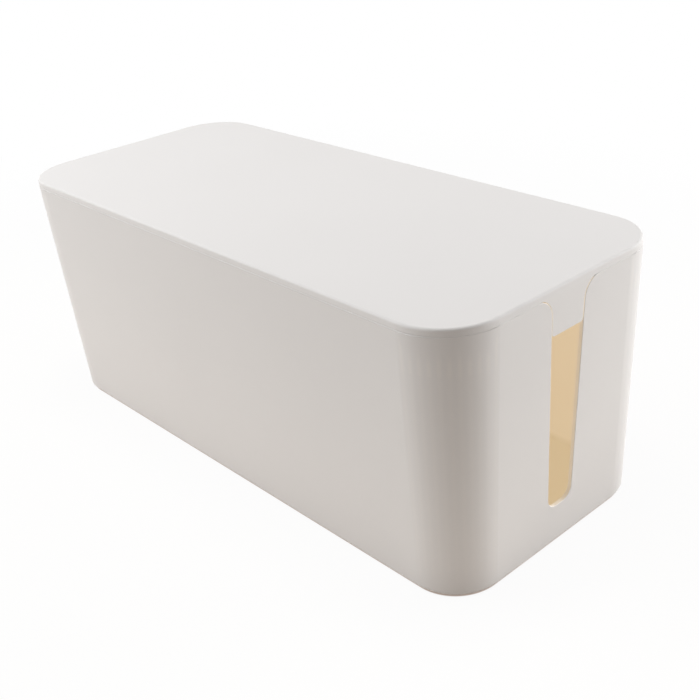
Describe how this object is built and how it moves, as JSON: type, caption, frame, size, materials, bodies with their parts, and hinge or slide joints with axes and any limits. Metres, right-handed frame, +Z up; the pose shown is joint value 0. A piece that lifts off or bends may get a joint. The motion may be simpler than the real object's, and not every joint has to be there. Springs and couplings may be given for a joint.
{
  "type": "cable management box",
  "caption": "Oblong box with rounded corners that hides a power strip and its cables, with a lift-off lid and a tall cable slot in each end wall.",
  "frame": {"origin": "middle of the footprint, on the surface that the feet stand on", "axes": "+X along the length, +Y across the width, +Z up out of the lid"},
  "size_m": [0.32, 0.136, 0.1277],
  "materials": {
    "moulded_shell": "off-white ABS, fine satin texture",
    "moulded_lid": "off-white ABS, fine satin texture",
    "rubber_feet": "matt grey rubber"
  },
  "bodies": {
    "tub": {"box_body": "moulded_shell", "foot_front_left": "rubber_feet", "foot_front_right": "rubber_feet", "foot_back_left": "rubber_feet", "foot_back_right": "rubber_feet"},
    "lid": {"lid": "moulded_lid"}
  },
  "joints": [
    {"name": "lid_lift", "type": "slide", "parent": "tub", "child": "lid", "axis": [0, 0, 1], "range_m": [0, 0.08]}
  ]
}
